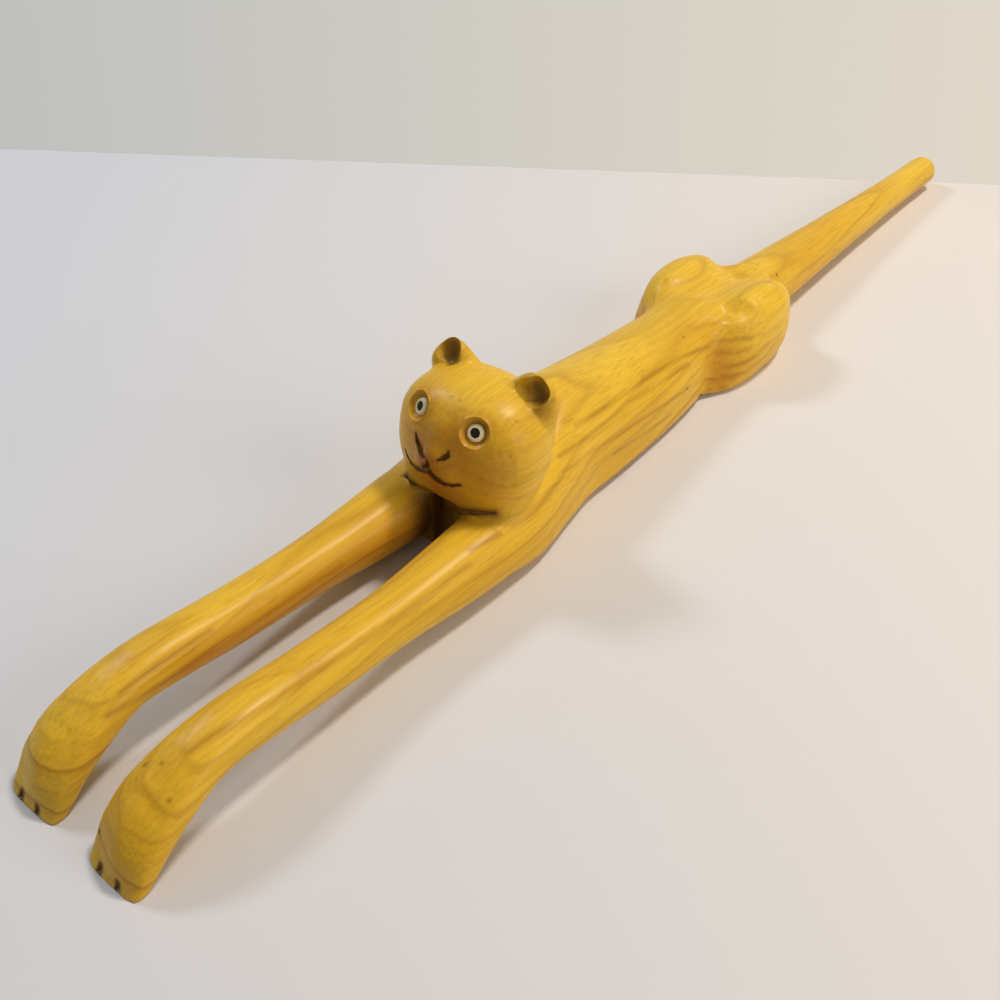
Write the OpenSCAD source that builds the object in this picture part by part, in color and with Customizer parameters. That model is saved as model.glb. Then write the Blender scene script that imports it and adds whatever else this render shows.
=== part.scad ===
// Back scratcher carved as a stretching cat, built up from jointed pine blanks.
// The paws rake, the tail is the handle. The cat faces -Y, +X is its left side,
// +Z is up and the table is Z = 0. The origin is at the middle of the outline's bottom.
// All lengths are in millimetres, all angles in degrees.

/* [Lengths along the cat] */
// From the shoulder joint to the last section of the paw
foreleg_l = 125; // [90:1:200]
// From the shoulder joint to the rump joint
torso_l = 170; // [140:1:260]
// From the rump joint to the end of the tail
tail_l = 162; // [90:1:260]

/* [Torso] */
// Rise of the chest above the chin joint before the head's seat is cut
chest_rise = 2.5; // [1:0.25:6]
// Rise of the nape above the head's seat
nape_rise = 5; // [2:0.25:8]
// Length of the chest's flat underside
chest_foot_l = 47; // [38:1:60]
// Length of the slope from the chest's underside up to the belly
chest_slope_l = 5; // [3:0.5:12]
// Width of the belly
belly_w = 38; // [32:0.5:46]
// Gap between the belly and the table
belly_gap = 2; // [0.5:0.25:4]
// Height at which the flanks are widest
flank_h = 12; // [8:0.5:15]
// Width of the waist in front of the haunches
waist_w = 30; // [26:0.5:36]
// Height of the back at the waist
back_h = 27; // [23:0.5:34]
// Width of the rump's core between the haunches
core_w = 30; // [24:0.5:36]
// Height of the rump between the haunches
rump_h = 27; // [25:0.5:34]
// Gap between the rump and the table
rump_gap = 0.3; // [0.1:0.1:2]
// Depth of the cleft under the chin, between the forelegs
cleft_l = 8; // [3:0.25:9]
// Rounding of the chest's lower edges
chest_edge = 6; // [3:0.5:9]
// Rounding of the belly's lower edges
belly_edge = 1.5; // [0.5:0.25:4]

/* [Head] */
// Width of the head
head_w = 43.5; // [36:0.5:52]
// Distance from the middle of the head to the brow
head_front = 16; // [13:0.25:20]
// Distance from the middle of the head to its back
head_back = 17; // [14:0.25:20]
// Height of the crown above the middle of the head
head_up = 14.2; // [11:0.1:18]
// Height of the middle of the head above the chin joint
head_over = 18; // [15:0.25:22]
// How far the jaw would reach below the chin joint if it weren't cut there
jaw_sink = 20; // [10:0.5:26]
// Distance of the middle of the head behind the shoulder joint
head_set = 14.5; // [12:0.5:20]
// How far the muzzle stands out from the face
muzzle_out = 3.5; // [1:0.25:6]
// How far the cheeks stand out
cheek_out = 2; // [0:0.1:3]
// Height of the chin joint above the table
chin_z = 19.5; // [18:0.25:24]
// Slope of the neck joint from the chin up to the nape
neck_slope = 17; // [12:0.5:22]

/* [Ears] */
// Distance between the tips of the ears
ear_spacing = 30; // [24:0.5:38]
// Width of an ear's root
ear_w = 21; // [16:0.5:22]
// Thickness of an ear's root
ear_t = 13.5; // [10:0.5:15]
// Length of an ear from its root in the head to its tip
ear_l = 20; // [16:0.5:24]
// Height of an ear's tip above the middle of the head
ear_up = 18.5; // [16:0.25:24]
// Distance of the ears behind the middle of the head
ear_set = 7; // [3:0.5:10]
// Outward lean of an ear
ear_lean = 14; // [0:1:30]
// Diameter of the round scoop that hollows an ear
ear_scoop_d = 10; // [6:0.25:12]
// Depth of the scoop
ear_scoop_depth = 3; // [1:0.25:4]

/* [Eyes] */
// Angle of an eye to the side of the face's middle plane
eye_side = 38; // [28:0.5:44]
// Angle of an eye above the middle of the head
eye_rise = 27; // [12:0.5:34]
// How far an eye's axis turns outwards
eye_turn = 20; // [0:1:40]
// How far an eye's axis looks up
eye_look = 32; // [0:1:45]
// Diameter of the countersunk eye socket
socket_d = 8.8; // [7:0.1:10]
// Depth of the eye socket
socket_depth = 1.8; // [1.4:0.1:3]
// Width of the ledge round the eye at the socket's floor
socket_ledge = 0.3; // [0.1:0.05:0.8]
// Diameter of the eye peg
eye_d = 5; // [4:0.1:6]
// Length of the eye peg below the face
eye_l = 7; // [5:0.25:9]
// How far the top of the eye lies below the face
eye_sink = 0.6; // [0.2:0.05:1.2]
// Height of the eye peg's domed end
eye_dome = 1; // [0.4:0.1:2]
// Diameter of the black pupil peg
pupil_d = 2.7; // [1.4:0.1:3.2]
// Length of the pupil peg below the face
pupil_l = 3; // [2:0.25:4]
// How far the pupil peg stays below the top of the eye
pupil_sink = 0.15; // [0.05:0.05:0.4]

/* [Forelegs] */
// Distance between the middles of the forelegs
foreleg_spacing = 30; // [25:0.5:38]
// Thickness of a foreleg at the shoulder joint
shoulder_d = 20.5; // [17:0.25:25]
// Gap between the shoulder and the table
shoulder_gap = 0.25; // [0.1:0.05:2]
// Width of a foreleg halfway
foreleg_w = 14.8; // [12:0.1:20]
// Thickness of a foreleg halfway
foreleg_t = 14.2; // [12:0.1:20]
// Length of the bent wrist and paw
paw_l = 38.75; // [30:0.25:50]
// Width of a paw
paw_w = 19; // [15:0.25:24]
// Thickness of a paw
paw_t = 12; // [9:0.25:15]
// Height of the middle of the wrist above the table
wrist_z = 16.5; // [14:0.25:24]
// Width of the two cuts that part the toes
toe_cut_w = 1.8; // [0.8:0.1:3]
// Height of the toe cuts above the table
toe_cut_h = 3; // [1:0.25:6]
// Distance between the toe cuts
toe_pitch = 5; // [4:0.25:8]

/* [Haunches] */
// Width over both haunches
haunch_w = 49.5; // [42:0.5:60]
// Distance between the middles of the haunches
haunch_spacing = 29; // [22:0.5:36]
// Length of a haunch
haunch_l = 46; // [38:0.5:58]
// Height of a haunch
haunch_h = 29; // [26:0.5:36]
// How far a haunch's top lies behind its foot
haunch_lean = 2.5; // [0:0.25:5]
// Distance from the middle of a haunch to the rump joint
haunch_set = 27.5; // [23:0.5:34]
// Diameter of the round gouge that dimples the top of each hip joint
dimple_d = 18; // [14:0.5:26]
// Height of the dimple's floor above the table
dimple_z = 26.5; // [22:0.25:30]
// Distance of the dimple in front of the middle of the haunch
dimple_fore = 8; // [0:0.5:12]

/* [Tail] */
// Diameter of the tail at the rump joint
tail_root_d = 23; // [19:0.1:28]
// Diameter of the tail's end
tail_end_d = 12.6; // [10:0.1:16]
// Length of the straight stretch and the rounding at the tail's end
tail_end_l = 19; // [12:0.5:30]
// Rounding of the tail's end
tail_round = 5; // [2:0.25:5]
// Gap between the tail's end and the table
tail_end_gap = 1; // [0.3:0.1:4]
// Diameter of the tail's tenon
tenon_d = 12; // [9:0.25:15]
// Length of the tail's tenon
tenon_l = 16; // [12:0.5:22]
// Chamfer of the tenon's end
tenon_chamfer = 0.8; // [0.3:0.1:2]

/* [Dowels] */
// Diameter of the dowels at the neck and the shoulders
dowel_d = 8; // [5:0.25:10]
// Length of the neck dowel
neck_dowel_l = 26; // [18:0.5:32]
// Length of a shoulder dowel
shoulder_dowel_l = 40; // [24:0.5:60]
// Diameter of the hip dowels
hip_dowel_d = 8; // [5:0.25:10]
// Wood left over the ends of the hip dowels
hip_cover = 5.5; // [3:0.25:9]
// Distance between the two hip dowels
hip_dowel_gap = 16; // [12:0.5:20]
// Height of the hip dowels above the table
hip_dowel_z = 14; // [10:0.5:18]
// Wood between the rear hip dowel and the tail's tenon
tenon_wall = 1.6; // [1:0.1:4]
// Radial glue clearance around every dowel, tenon and peg
glue_gap = 0.05; // [0.02:0.01:0.1]

/* [Hidden] */

pine = [0.86, 0.66, 0.22];
bone = [0.93, 0.88, 0.70];
ebony = [0.05, 0.04, 0.04];
beech = [0.80, 0.64, 0.46];

// A length that reaches past any piece
far = 2 * (foreleg_l + torso_l + tail_l);

// Smooth interpolation between rows of [position, values...]
function span(rows, s, i = 0) = i >= len(rows) - 2 || s < rows[i + 1][0] ? i : span(rows, s, i + 1);
function chord(rows, i, j) = (rows[j] - rows[i]) / (rows[j][0] - rows[i][0]);
function slope(rows, i) = chord(rows, max(i - 1, 0), min(i + 1, len(rows) - 1));
function smooth_row(rows, s) =
  let (i = span(rows, s), a = rows[i], b = rows[i + 1], w = b[0] - a[0], t = (s - a[0]) / w,
       ma = slope(rows, i) * w, mb = slope(rows, i + 1) * w)
  (2 * t ^ 3 - 3 * t ^ 2 + 1) * a + (t ^ 3 - 2 * t ^ 2 + t) * ma
  + (3 * t ^ 2 - 2 * t ^ 3) * b + (t ^ 3 - t ^ 2) * mb;
function blend(a, b, t) = a + (b - a) * t;

// Cosine or sine raised so that an oval's sides grow square as n rises from 2
function round_power(v, n) = sign(v) * abs(v) ^ (2 / n);

// Skin over a list of rings, with flat ends
module skin(rings) {
  k = len(rings[0]);
  last = len(rings) - 1;
  polyhedron(
    points = [for (ring = rings) each ring],
    faces = [
      [for (i = [k - 1 : -1 : 0]) i],
      for (j = [0 : last - 1], i = [0 : k - 1]) let (n = (i + 1) % k) each
        [[j * k + i, (j + 1) * k + n, (j + 1) * k + i], [j * k + i, j * k + n, (j + 1) * k + n]],
      [for (i = [0 : k - 1]) last * k + i]]);
}

// Skin over a ball given by a list of rings between two end points
module ball_skin(first, rings, final) {
  k = len(rings[0]);
  m = len(rings);
  polyhedron(
    points = [first, for (ring = rings) each ring, final],
    faces = [
      for (i = [0 : k - 1]) [0, 1 + i, 1 + (i + 1) % k],
      for (j = [0 : m - 2], i = [0 : k - 1]) let (a = 1 + j * k + i, b = 1 + j * k + (i + 1) % k) each
        [[a, a + k, b + k], [a, b + k, b]],
      for (i = [0 : k - 1]) [1 + m * k, 1 + (m - 1) * k + (i + 1) % k, 1 + (m - 1) * k + i]]);
}

module mirrored(side) {
  mirror([side < 0 ? 1 : 0, 0, 0]) children();
}

// Foreleg: rows of distance from the shoulder joint, height, half width, half thickness,
// downward pitch and squareness. The arm rows end at the wrist, where the paw rows begin.
half_leg = foreleg_spacing / 2;
shoulder_z = shoulder_d / 2 + shoulder_gap;
arm_l = foreleg_l - paw_l;
leg_rows = [
  [0, shoulder_z, shoulder_d * 0.5, shoulder_d * 0.5, 0, 2.2],
  [arm_l * 0.19, blend(shoulder_z, wrist_z, 0.05), shoulder_d * 0.45, shoulder_d * 0.44, -3, 2.2],
  [arm_l * 0.42, blend(shoulder_z, wrist_z, 0.23), foreleg_w * 0.52, foreleg_t * 0.53, -4, 2.3],
  [arm_l * 0.71, blend(shoulder_z, wrist_z, 0.55), foreleg_w * 0.5, foreleg_t * 0.5, -6, 2.3],
  [arm_l, wrist_z * 1.02, foreleg_w * 0.5, foreleg_t * 0.47, -4, 2.3],
  [arm_l + paw_l * 0.28, wrist_z * 1.035, foreleg_w * 0.52, paw_t * 0.47, 8, 2.4],
  [arm_l + paw_l * 0.56, wrist_z * 0.83, paw_w * 0.46, paw_t * 0.42, 32, 2.9],
  [arm_l + paw_l * 0.78, wrist_z * 0.5, paw_w * 0.49, paw_t * 0.32, 47, 3.5],
  [arm_l + paw_l * 0.935, wrist_z * 0.08, paw_w * 0.48, paw_t * 0.2, 53, 3.9],
  [foreleg_l, wrist_z * -0.08, paw_w * 0.47, paw_t * 0.14, 54, 4]];
leg_steps = 30;
leg_around = 40;
function leg_ring(d) =
  let (row = smooth_row(leg_rows, d))
  [for (i = [0 : leg_around - 1])
     let (a = -360 * i / leg_around, up = row[3] * round_power(sin(a), row[5]))
     [row[2] * round_power(cos(a), row[5]), -row[0] - up * sin(row[4]), row[1] + up * cos(row[4])]];
leg_rings = [for (j = [0 : leg_steps]) leg_ring(foreleg_l * j / leg_steps)];

// How far the paws reach in front of the shoulder joint, where the table cuts them off
paw_reach = max([for (j = [0 : leg_steps - 1], i = [0 : leg_around - 1])
  let (a = leg_rings[j][i], b = leg_rings[j + 1][i])
  if (a[2] >= 0) b[2] < 0 ? -a[1] - (b[1] - a[1]) * a[2] / (a[2] - b[2]) : -a[1]]);

// Tail: heights of its axis at both ends, its tilt and its reach behind the rump joint
tail_z = tail_root_d / 2 + rump_gap;
tail_end_z = tail_end_d / 2 + tail_end_gap;
tail_tilt = asin((tail_z - tail_end_z) / tail_l);
tail_reach = tail_l * cos(tail_tilt) + (tail_end_d / 2 - tail_round) * abs(sin(tail_tilt));

// Where the joints and the pieces lie along Y
shoulder_y = (paw_reach - torso_l - tail_reach) / 2;
rump_y = shoulder_y + torso_l;
haunch_y = rump_y - haunch_set;
head_y = shoulder_y + head_set;
rear_hip_y = rump_y - tenon_l - tenon_wall - hip_dowel_d / 2;
front_hip_y = rear_hip_y - hip_dowel_gap;
hip_dowel_l = haunch_w - 2 * hip_cover;

// Torso: rows of distance from the shoulder joint, half width, underside, top, height of the
// widest place, squareness of the back and rounding of the lower edges
chest_w = foreleg_spacing + shoulder_d;
chest_h = chin_z + chest_rise;
nape_d = head_set + head_back;
nape_h = chin_z + nape_d * tan(neck_slope) + nape_rise;
belly_d = chest_foot_l + chest_slope_l;
hip_d = torso_l - haunch_set - haunch_l / 2;
function belly_place(t) = blend(belly_d, hip_d, t);
function spine_h(t) = blend(nape_h, back_h, t);
torso_rows = [
  [0, chest_w * 0.5, 0, chest_h, shoulder_z, 2.6, shoulder_d * 0.5],
  [head_set, chest_w * 0.49, 0, blend(chest_h, nape_h, 0.58), flank_h * 0.92, 2.1, chest_edge],
  [nape_d, chest_w * 0.43, 0, nape_h, flank_h, 2, chest_edge],
  [chest_foot_l, belly_w * 0.5, 0, nape_h, flank_h, 2, chest_edge * 0.8],
  [belly_d, belly_w * 0.5, belly_gap, spine_h(0.1), flank_h, 2, belly_edge],
  [belly_place(0.25), belly_w * 0.5, belly_gap, spine_h(0.5), flank_h, 2, belly_edge],
  [belly_place(0.58), belly_w * 0.48, belly_gap, spine_h(0.92), flank_h, 2, belly_edge],
  [belly_place(0.86), waist_w * 0.55, belly_gap, back_h, flank_h, 2, belly_edge],
  [hip_d, waist_w * 0.5, belly_gap, blend(back_h, rump_h, 0.3), flank_h, 2.3, belly_edge],
  [hip_d + haunch_l * 0.27, haunch_w * 0.4, rump_gap, rump_h, flank_h, 2.8, belly_edge],
  [torso_l - haunch_set * 0.8, haunch_w * 0.4, rump_gap, rump_h, flank_h, 2.8, belly_edge * 2],
  [torso_l - haunch_set * 0.25, core_w * 0.51, rump_gap, blend(rump_h, tail_root_d, 0.75),
   flank_h, 2.4, belly_edge * 4],
  [torso_l, tail_root_d * 0.5, rump_gap, tail_root_d + rump_gap, tail_z, 2, tail_root_d * 0.5]];
torso_steps = 34;
back_points = 26;
edge_points = 5;
function torso_point(i, half_w, low, top, mid, n, edge) =
  i <= back_points
  ? let (a = 180 * i / back_points)
    [half_w * round_power(cos(a), n), mid + (top - mid) * round_power(sin(a), n)]
  : let (j = i - back_points - 1, left = j < edge_points, k = left ? j : 2 * edge_points - 1 - j,
         a = 90 * k / (edge_points - 0.5))
    [(left ? -1 : 1) * (half_w - edge + edge * cos(a)), low + edge - edge * sin(a)];
function torso_ring(d) =
  let (row = smooth_row(torso_rows, d))
  [for (i = [0 : back_points + 2 * edge_points])
     let (p = torso_point(i, row[1], max(row[2], 0), row[3], row[4], row[5], row[6]))
     [p[0], shoulder_y + d, p[1]]];

// Head: distance from its middle to its surface in any direction
head_z = chin_z + head_over;
head_down = head_over + jaw_sink;
head_n = 2.35;
head_lats = 26;
head_lons = 48;
function aim(lon, lat) = [sin(lon) * cos(lat), -cos(lon) * cos(lat), sin(lat)];
function bump(dir, toward, width) =
  let (angle = acos(min(1, dir * toward / norm(toward)))) exp(-(angle / width) ^ 2);
function head_shell(dir) =
  (abs(dir[0] / (head_w / 2)) ^ head_n + abs(dir[1] / (dir[1] < 0 ? head_front : head_back)) ^ head_n
   + abs(dir[2] / (dir[2] > 0 ? head_up : head_down)) ^ head_n) ^ (-1 / head_n);
function head_r(dir) = head_shell(dir) + muzzle_out * bump(dir, [0, -1, -0.22], 22)
  + cheek_out * (bump(dir, [0.8, -0.5, -0.45], 30) + bump(dir, [-0.8, -0.5, -0.45], 30));
function head_point(dir) = [0, head_y, head_z] + dir * head_r(dir);

// Where an eye's axis meets the face
eye_at = head_point(aim(eye_side, eye_rise));

// Lays +Z along the axis of the left eye, outwards
module to_eye() {
  translate(eye_at) rotate([0, 0, eye_turn]) rotate([90 - eye_look, 0, 0]) children();
}

// Lays +Z square to the neck joint, above the middle of the head's seat
module to_neck() {
  translate([0, shoulder_y, chin_z]) rotate([neck_slope, 0, 0]) translate([0, head_set, 0]) children();
}

// Lays +Z along the tail, with its zero at the rump joint
module to_tail() {
  translate([0, rump_y, tail_z]) rotate([-90 - tail_tilt, 0, 0]) children();
}

// Everything above the neck joint
module above_neck() {
  to_neck() translate([-far / 2, -far / 2, 0]) cube(far);
}

module neck_bore() {
  to_neck() cylinder(d = dowel_d + 2 * glue_gap, h = neck_dowel_l + 2 * glue_gap, center = true, $fn = 48);
}

module shoulder_bore(side) {
  translate([side * half_leg, shoulder_y, shoulder_z]) rotate([90, 0, 0])
    cylinder(d = dowel_d + 2 * glue_gap, h = shoulder_dowel_l + 2 * glue_gap, center = true, $fn = 48);
}

module hip_bores() {
  for (y = [front_hip_y, rear_hip_y])
    translate([0, y, hip_dowel_z]) rotate([0, 90, 0])
      cylinder(d = hip_dowel_d + 2 * glue_gap, h = hip_dowel_l + 2 * glue_gap, center = true, $fn = 48);
}

// Round gouges that hollow the tops of the hip joints, across core and haunch
module dimples() {
  for (side = [-1, 1])
    translate([side * core_w / 2, haunch_y - dimple_fore, dimple_z + dimple_d / 2])
      sphere(d = dimple_d, $fn = 64);
}

// Round-ended slot that parts the forelegs' roots under the chin
module cleft() {
  gap = foreleg_spacing - shoulder_d;
  translate([0, shoulder_y + cleft_l - gap / 2, -far / 2]) cylinder(d = gap, h = far, $fn = 48);
  translate([-gap / 2, shoulder_y + cleft_l - gap / 2 - far, -far / 2]) cube([gap, far, far]);
}

// Torso: one blank from the shoulders to the rump, with flats for the haunches and a seat for the head
module torso() {
  color(pine) difference() {
    union() {
      torso_skin(0);
      for (side = [-1, 1]) mirrored(side) hip();
    }
    above_neck();
    neck_bore();
    shoulder_bore(-1);
    shoulder_bore(1);
    hip_bores();
    dimples();
    cleft();
    for (side = [-1, 1])
      mirrored(side) translate([core_w / 2, shoulder_y + hip_d, -far / 2]) cube(far);
    to_tail() translate([0, 0, -tenon_l - glue_gap]) cylinder(d = tenon_d + 2 * glue_gap, h = far, $fn = 64);
    to_tail() translate([-far / 2, -far / 2, 0]) cube(far);
  }
}

module head_ball() {
  ball_skin(
    head_point([0, 0, -1]),
    [for (j = [1 : head_lats - 1]) [for (i = [0 : head_lons - 1])
       head_point(aim(360 * i / head_lons, -90 + 180 * j / head_lats))]],
    head_point([0, 0, 1]));
}

// Ear: level ovals that draw in to a round tip, leaning outwards, with a round scoop from the front
function ear_taper(t) = (1 - t ^ 1.6) ^ 0.6;
function ear_ring(t) =
  [for (i = [0 : 27])
     let (a = -360 * i / 28)
     [ear_w / 2 * ear_taper(t) * cos(a), ear_t / 2 * ear_taper(t) * sin(a), ear_l * t]];

module ear() {
  scoop_t = 0.76;
  translate([ear_spacing / 2, head_y + ear_set, head_z + ear_up]) rotate([0, ear_lean, 0])
    translate([0, 0, -ear_l]) difference() {
      skin([for (j = [0 : 12]) ear_ring(1 - 0.995 * (1 - j / 12) ^ 1.5 - 0.005)]);
      translate([0, ear_scoop_depth - ear_t / 2 * ear_taper(scoop_t) - ear_scoop_d / 2, ear_l * scoop_t])
        sphere(d = ear_scoop_d, $fn = 48);
    }
}

// Head: skull, muzzle and ears in one blank, seated on the neck joint, with drilled eye sockets
module head() {
  color(pine) difference() {
    intersection() {
      union() {
        head_ball();
        for (side = [-1, 1]) mirrored(side) ear();
      }
      above_neck();
    }
    neck_bore();
    for (side = [-1, 1]) mirrored(side) to_eye() {
      translate([0, 0, -socket_depth])
        cylinder(d1 = eye_d + 2 * socket_ledge, d2 = socket_d, h = socket_depth, $fn = 48);
      cylinder(d = socket_d, h = socket_d, $fn = 48);
      translate([0, 0, -eye_l]) cylinder(d = eye_d + 2 * glue_gap, h = eye_l, $fn = 48);
    }
  }
}

// Eye: a turned bone peg with a domed end and a blind hole for the pupil
module eye(side) {
  color(bone) mirrored(side) to_eye() difference() {
    rotate_extrude($fn = 64) polygon([
      [0, -eye_l], [eye_d / 2, -eye_l],
      for (a = [0 : 15 : 90]) [eye_d / 2 * cos(a), -eye_sink - eye_dome * (1 - sin(a))]]);
    translate([0, 0, -pupil_l]) cylinder(d = pupil_d + 2 * glue_gap, h = far, $fn = 48);
  }
}

// Pupil: a black peg in the eye
module pupil(side) {
  color(ebony) mirrored(side) to_eye() translate([0, 0, -pupil_l])
    cylinder(d = pupil_d, h = pupil_l - eye_sink - pupil_sink, $fn = 48);
}

// Foreleg: an arm that rises to the wrist and bends down to a paw, which stands on the table
module foreleg(side) {
  color(pine) difference() {
    translate([side * half_leg, shoulder_y, 0]) skin(leg_rings);
    shoulder_bore(side);
    translate([-far / 2, -far / 2, -far]) cube(far);
    for (toe = [-0.5, 0.5])
      translate([side * half_leg + toe * toe_pitch, shoulder_y - paw_reach, 0]) rotate([0, 0, 45])
        cube([toe_cut_w, toe_cut_w, 2 * toe_cut_h], center = true);
  }
}

// Haunch: level rings over a hip, as rows of height, half width, half length, squareness and lean.
// The joint with the rump's core runs through its middle
haunch_half = (haunch_w - haunch_spacing) / 2;
haunch_rows = [
  [0, haunch_half * 0.7, haunch_l * 0.47, 2.6, 0],
  [haunch_h * 0.18, haunch_half * 0.9, haunch_l * 0.5, 2.4, haunch_lean * 0.1],
  [haunch_h * 0.4, haunch_half, haunch_l * 0.48, 2.3, haunch_lean * 0.4],
  [haunch_h * 0.62, haunch_half * 0.96, haunch_l * 0.44, 2.2, haunch_lean * 0.8],
  [haunch_h * 0.82, haunch_half * 0.86, haunch_l * 0.38, 2.1, haunch_lean],
  [haunch_h * 0.95, haunch_half * 0.58, haunch_l * 0.26, 2, haunch_lean],
  [haunch_h, haunch_half * 0.15, haunch_l * 0.08, 2, haunch_lean]];
haunch_steps = 16;
haunch_around = 40;
function haunch_ring(z) =
  let (row = smooth_row(haunch_rows, z))
  [for (i = [0 : haunch_around - 1])
     let (a = -360 * i / haunch_around)
     [haunch_spacing / 2 + row[1] * round_power(cos(a), row[3]),
      haunch_y + row[4] + row[2] * round_power(sin(a), row[3]), z]];

// Torso's skin from one of its rings to the rump joint
module torso_skin(first) {
  skin([for (j = [first : torso_steps]) torso_ring(torso_l * j / torso_steps)]);
}

// One hip, as a dome on the table
module hip() {
  skin([for (j = [0 : haunch_steps]) haunch_ring(haunch_h * j / haunch_steps)]);
}

// Haunch blank: the side of the rump and its hip, flat where it is glued to the core
module haunch(side) {
  color(pine) mirrored(side) difference() {
    union() {
      torso_skin(floor(torso_steps * hip_d / torso_l));
      hip();
    }
    translate([core_w / 2 - far, -far / 2, -far / 2]) cube(far);
    translate([-far / 2, shoulder_y + hip_d - far, -far / 2]) cube(far);
    hip_bores();
    dimples();
    to_tail() translate([-far / 2, -far / 2, 0]) cube(far);
  }
}

// Tail: a turned handle with a flare at the root, a straight end and a tenon that enters the rump
function tail_radius(t) = blend(tail_end_d / 2, tail_root_d / 2, (1 - t) ^ 1.45);

module tail_handle() {
  taper_l = tail_l - tail_end_l;
  steps = 16;
  color(pine) to_tail() rotate_extrude($fn = 96) polygon([
    [0, -tenon_l], [tenon_d / 2 - tenon_chamfer, -tenon_l],
    [tenon_d / 2, tenon_chamfer - tenon_l], [tenon_d / 2, 0],
    for (i = [0 : steps]) [tail_radius(i / steps), taper_l * i / steps],
    for (a = [0 : 15 : 90])
      [tail_end_d / 2 - tail_round * (1 - cos(a)), tail_l - tail_round * (1 - sin(a))],
    [0, tail_l]]);
}

module neck_dowel() {
  color(beech) to_neck() cylinder(d = dowel_d, h = neck_dowel_l, center = true, $fn = 48);
}

module shoulder_dowel(side) {
  color(beech) translate([side * half_leg, shoulder_y, shoulder_z]) rotate([90, 0, 0])
    cylinder(d = dowel_d, h = shoulder_dowel_l, center = true, $fn = 48);
}

module hip_dowel(y) {
  color(beech) translate([0, y, hip_dowel_z]) rotate([0, 90, 0])
    cylinder(d = hip_dowel_d, h = hip_dowel_l, center = true, $fn = 48);
}

torso();
head();
foreleg(1);  // left_foreleg
foreleg(-1);  // right_foreleg
haunch(1);  // left_haunch
haunch(-1);  // right_haunch
tail_handle();
eye(1);  // left_eye
eye(-1);  // right_eye
pupil(1);  // left_pupil
pupil(-1);  // right_pupil
neck_dowel();
shoulder_dowel(1);  // left_shoulder_dowel
shoulder_dowel(-1);  // right_shoulder_dowel
hip_dowel(front_hip_y);  // front_hip_dowel
hip_dowel(rear_hip_y);  // rear_hip_dowel
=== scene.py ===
import math

import bpy
import numpy as np
from mathutils import Matrix, Vector


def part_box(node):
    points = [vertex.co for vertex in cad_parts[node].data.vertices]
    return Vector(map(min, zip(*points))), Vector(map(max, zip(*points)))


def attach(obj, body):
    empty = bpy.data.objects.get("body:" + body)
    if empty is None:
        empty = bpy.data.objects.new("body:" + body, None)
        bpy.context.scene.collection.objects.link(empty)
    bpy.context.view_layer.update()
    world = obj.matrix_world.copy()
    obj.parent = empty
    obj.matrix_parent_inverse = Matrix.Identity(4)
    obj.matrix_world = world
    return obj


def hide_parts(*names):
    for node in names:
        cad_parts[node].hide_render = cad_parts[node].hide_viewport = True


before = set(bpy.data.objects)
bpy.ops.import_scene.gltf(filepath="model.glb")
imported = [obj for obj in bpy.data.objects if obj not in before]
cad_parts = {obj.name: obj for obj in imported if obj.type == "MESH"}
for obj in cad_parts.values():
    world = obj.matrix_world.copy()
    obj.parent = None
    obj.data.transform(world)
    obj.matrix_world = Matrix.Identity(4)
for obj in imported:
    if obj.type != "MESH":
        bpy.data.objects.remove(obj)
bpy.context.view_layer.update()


# The cat before it is sawn apart: seven pine blanks, glued up on beech dowels, then carved and sanded as
# one, so that the surface runs on over every joint. The blanks are fused here, and the creases between
# them are rounded off as a carver rounds them with a rasp and sandpaper.
mm = 0.001
carving_voxel = 0.5 * mm
saw_reach = 90 * mm
shoulder_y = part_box("torso")[0].y
rump_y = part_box("torso")[1].y
pine_nodes = ("torso", "head", "left_foreleg", "right_foreleg", "left_haunch", "right_haunch", "tail_handle")
shoulder_dowels = ("left_shoulder_dowel", "right_shoulder_dowel")
hip_dowels = ("front_hip_dowel", "rear_hip_dowel")
dowel_nodes = ("neck_dowel", *shoulder_dowels, *hip_dowels)
peg_nodes = ("left_eye", "right_eye", "left_pupil", "right_pupil")


def only(piece):
    bpy.ops.object.select_all(action="DESELECT")
    piece.select_set(True)
    bpy.context.view_layer.objects.active = piece


def across(v):
    return Vector((-v.x, v.y, v.z))


def drawn(*points):
    return [Vector(p) * mm for p in points]


def both_sides(*points):
    left = drawn(*points)
    return [left, [across(p) for p in left]]


def spot(*points):
    return [drawn(p, p) for p in points]


def lay_along(axis):
    return axis.to_track_quat("Z", "Y").to_euler()


def middle_of(node):
    low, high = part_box(node)
    return (low + high) / 2


def corners(piece):
    flat = np.empty(len(piece.data.vertices) * 3, np.float64)
    piece.data.vertices.foreach_get("co", flat)
    return flat.reshape(-1, 3)


def distance_to_line(points, line):
    nearest = np.full(len(points), 1e9)
    for start, end in zip(line[:-1], line[1:]):
        a, b = np.array(start), np.array(end)
        along = b - a
        t = np.clip(((points - a) @ along) / max(along @ along, 1e-18), 0, 1)
        nearest = np.minimum(nearest, np.linalg.norm(points - a - t[:, None] * along, axis=1))
    return nearest


def weigh(piece, name, lines, reach, crisp=False):
    """Vertex group that is full on the lines and fades to nothing at the reach, evenly where it is crisp."""
    points = corners(piece)
    fade = np.zeros(len(points))
    for line in lines:
        t = np.clip(1 - distance_to_line(points, line) / reach, 0, 1)
        fade = np.maximum(fade, t if crisp else t * t * (3 - 2 * t))
    group = piece.vertex_groups.new(name=name)
    steps = 20
    for step in range(1, steps + 1):
        members = np.nonzero(np.round(fade * steps) == step)[0]
        if len(members):
            group.add(members.tolist(), step / steps, "REPLACE")


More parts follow.
